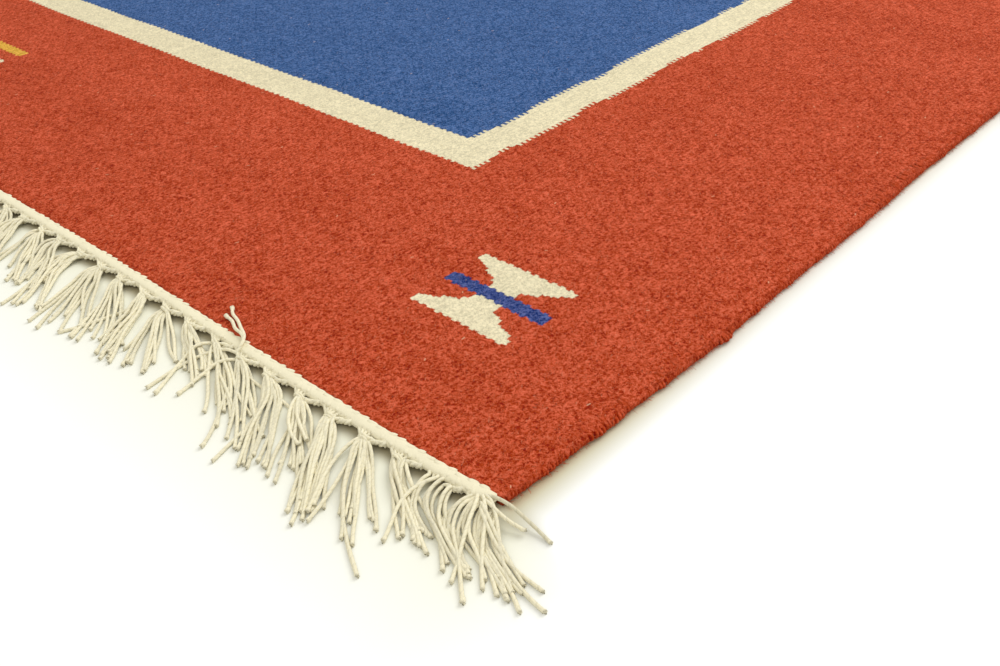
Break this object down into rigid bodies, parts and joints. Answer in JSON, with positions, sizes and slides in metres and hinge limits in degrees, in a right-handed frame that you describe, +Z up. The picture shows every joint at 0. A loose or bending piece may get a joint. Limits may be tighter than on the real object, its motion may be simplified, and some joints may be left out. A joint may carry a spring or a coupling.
{
  "type": "kilim rug",
  "caption": "Flat-woven rug with a plain field, a narrow stripe, a border of small hourglass motifs and a knotted cotton fringe at each end.",
  "frame": {"origin": "middle of the underside, on the floor", "axes": "+Z up from the floor, Y along the warps from end to end, X from selvedge to selvedge"},
  "size_m": [1.4764, 2.1276, 0.005],
  "materials": {
    "wool_weave": "matte wool slit weave, brick-red border round a blue field",
    "cotton_warp": "matte undyed plied cotton cord"
  },
  "bodies": {
    "root": {"cloth": "wool_weave", "fringe_front": "cotton_warp", "fringe_back": "cotton_warp"}
  },
  "joints": []
}
